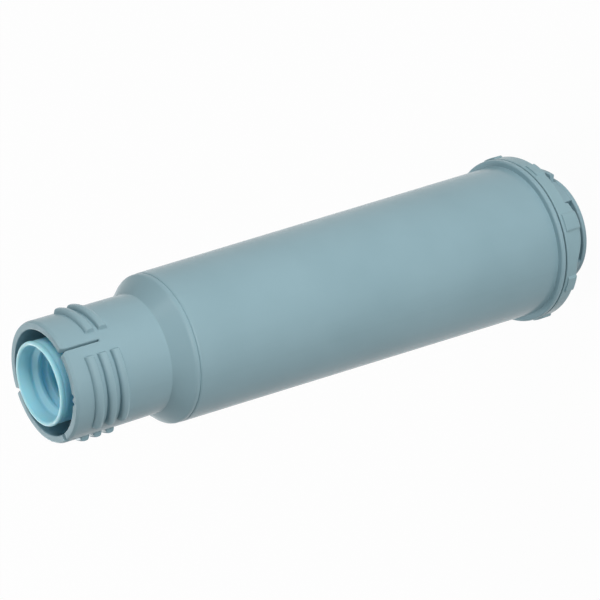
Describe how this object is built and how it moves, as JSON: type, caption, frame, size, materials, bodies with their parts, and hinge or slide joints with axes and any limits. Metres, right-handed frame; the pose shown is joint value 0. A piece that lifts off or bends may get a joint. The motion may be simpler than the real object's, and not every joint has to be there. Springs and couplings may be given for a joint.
{
  "type": "coffee machine water filter",
  "caption": "Screw-in water filter cartridge for a coffee machine's tank: tapered barrel, split threaded collar, soft outlet sleeve and a turnable month ring.",
  "frame": {"origin": "centre of the end disc's outer face, on the axis, which is the bottom of the part", "axes": "+Z along the axis from the cap end to the collar's mouth, -Y towards the side that the picture shows"},
  "size_m": [0.042, 0.042, 0.15],
  "materials": {
    "housing_plastic": "satin moulded",
    "cap_plastic": "satin moulded",
    "ring_plastic": "satin moulded",
    "seal_rubber": "smooth soft moulded",
    "tube_plastic": "natural moulded",
    "felt": "pressed felt",
    "granulate": "fine beads and grains"
  },
  "bodies": {
    "cartridge": {"housing": "housing_plastic", "outlet_seal": "seal_rubber", "riser_tube": "tube_plastic", "inlet_fleece": "felt", "granulate_bed": "granulate", "outlet_fleece": "felt", "press_plate": "tube_plastic", "end_cap": "cap_plastic", "end_disc": "cap_plastic"},
    "dial": {"month_ring": "ring_plastic"}
  },
  "joints": [
    {"name": "month_turn", "type": "hinge", "parent": "cartridge", "child": "dial", "pos_m": [0, 0, 0.0111], "axis": [0, 0, 1], "continuous": true}
  ]
}
